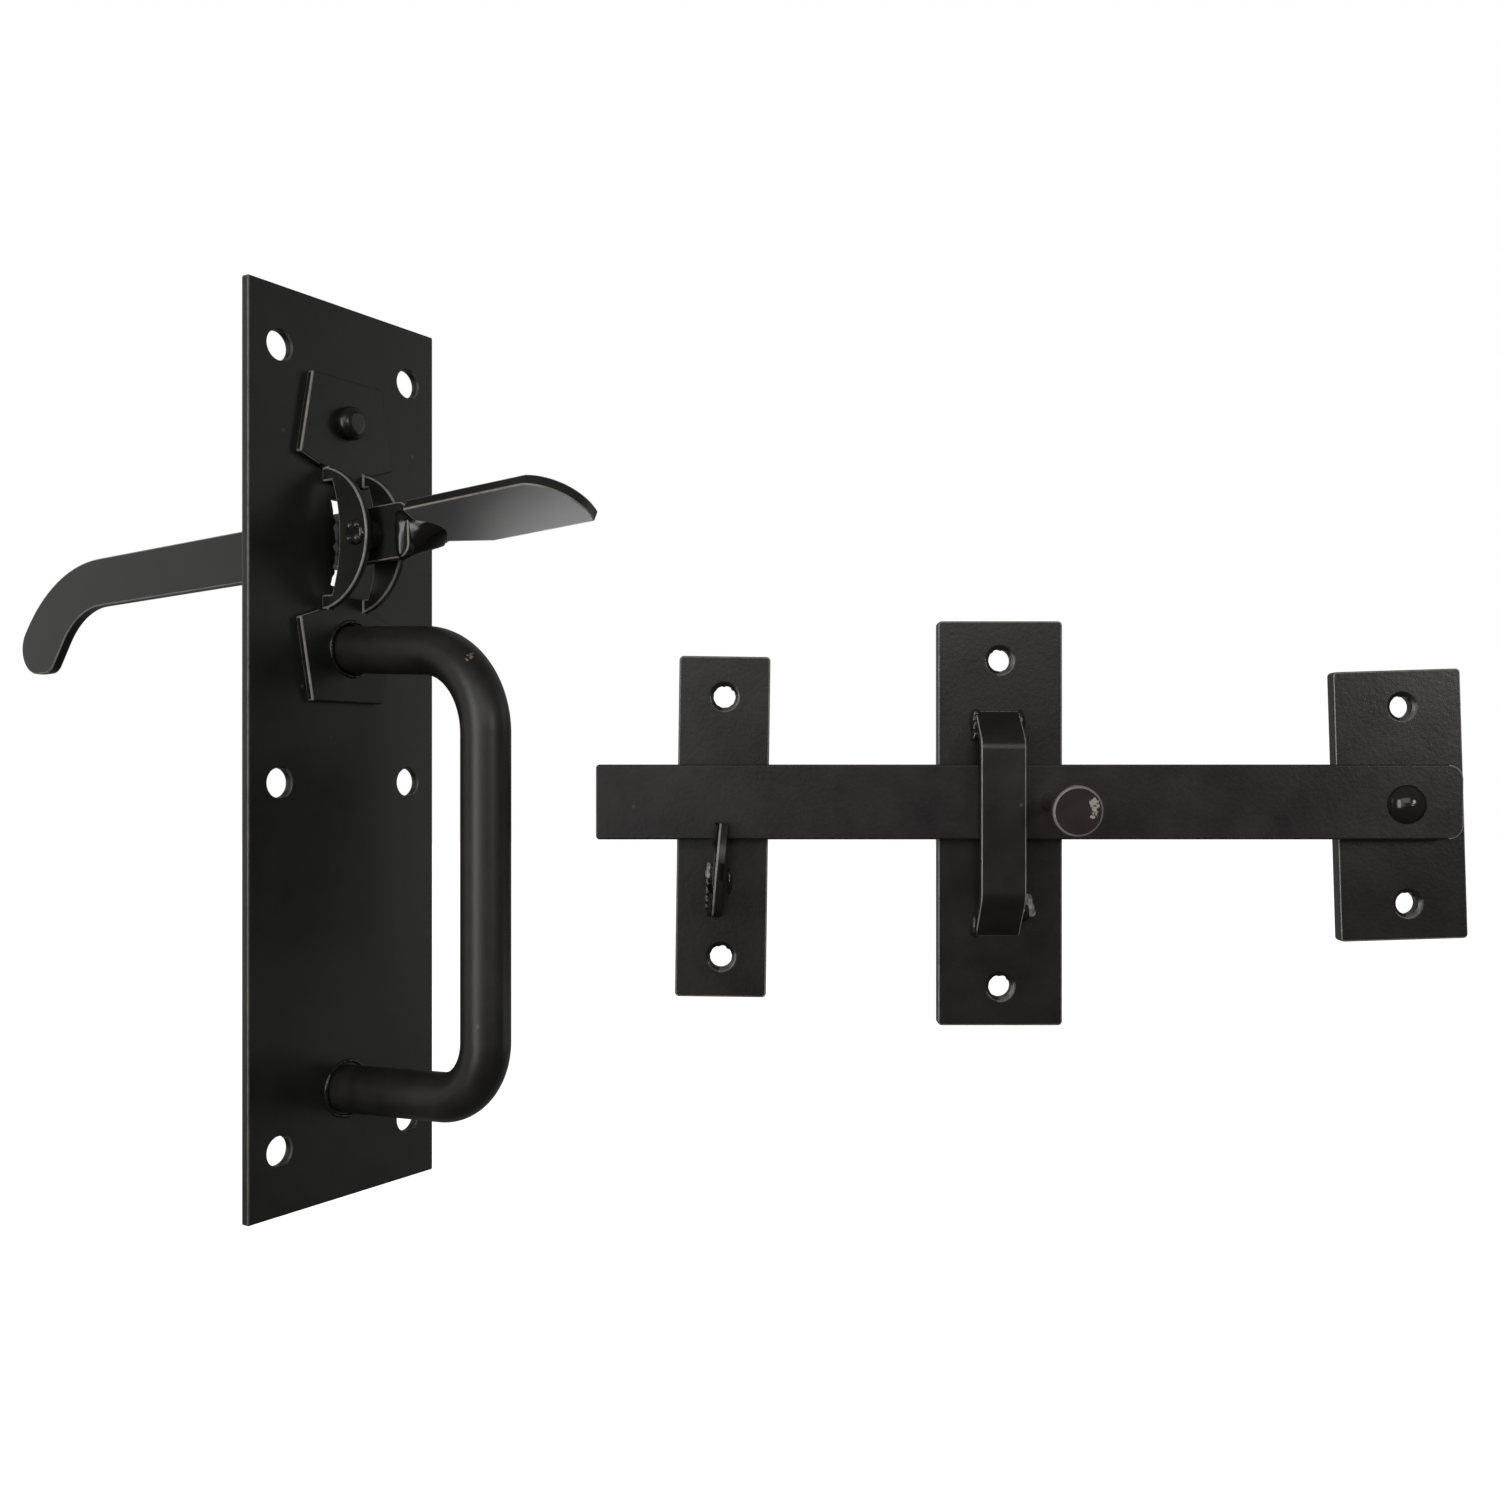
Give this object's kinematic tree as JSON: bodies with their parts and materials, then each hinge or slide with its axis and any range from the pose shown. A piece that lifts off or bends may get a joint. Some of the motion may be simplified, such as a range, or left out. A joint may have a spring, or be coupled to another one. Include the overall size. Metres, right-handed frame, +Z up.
{
  "type": "thumb latch",
  "caption": "Black steel gate thumb latch: backplate with pull handle, thumb lever and lift tongue, with a pivoted latch bar, guide strap and hooked keeper.",
  "frame": {"origin": "centre of the guide plate's back face, where it meets the gate", "axes": "+X along the latch bar towards its pivot, +Z up, -Y out of the gate towards the user of the latch bar; the handle unit stands beside the bar set, turned 57.3 degrees about Z"},
  "size_m": [0.4228, 0.118, 0.23],
  "materials": {
    "plate_paint": "satin black powder coat on sheet steel",
    "handle_paint": "satin black powder coat on drawn round bar",
    "lever_paint": "satin black powder coat on cut flat bar",
    "strip_paint": "semi-gloss black powder coat on flat strip",
    "bar_paint": "semi-gloss black powder coat on flat bar",
    "rivet_paint": "black powder coat over hammered steel",
    "weld_paint": "black powder coat over weld metal"
  },
  "bodies": {
    "fixed_plates": {"back_plate": "plate_paint", "lever_bracket": "plate_paint", "bracket_rivet": "rivet_paint", "lever_pin": "rivet_paint", "lever_spacers": "rivet_paint", "pull_handle": "handle_paint", "handle_foot_welds": "weld_paint", "guide_plate": "strip_paint", "keeper_plate": "strip_paint", "pivot_plate": "strip_paint", "pivot_rivet": "rivet_paint", "guide_strap": "strip_paint", "keeper_hook": "strip_paint", "guide_welds": "weld_paint", "keeper_welds": "weld_paint"},
    "thumb_lever": {"lift_tongue": "lever_paint", "thumb_pad": "lever_paint", "pad_weld": "weld_paint"},
    "latch_arm": {"latch_bar": "bar_paint", "lift_knob": "bar_paint"}
  },
  "joints": [
    {"name": "thumb_lever_hinge", "type": "hinge", "parent": "fixed_plates", "child": "thumb_lever", "pos_m": [-0.16321, -0.03426, 0.0738], "axis": [0.5402, 0.8415, 0], "range_deg": [-14, 11]},
    {"name": "latch_arm_hinge", "type": "hinge", "parent": "fixed_plates", "child": "latch_arm", "pos_m": [0.1092, -0.007, 0.0053], "axis": [0, 1, 0], "range_deg": [0, 2.9]}
  ]
}
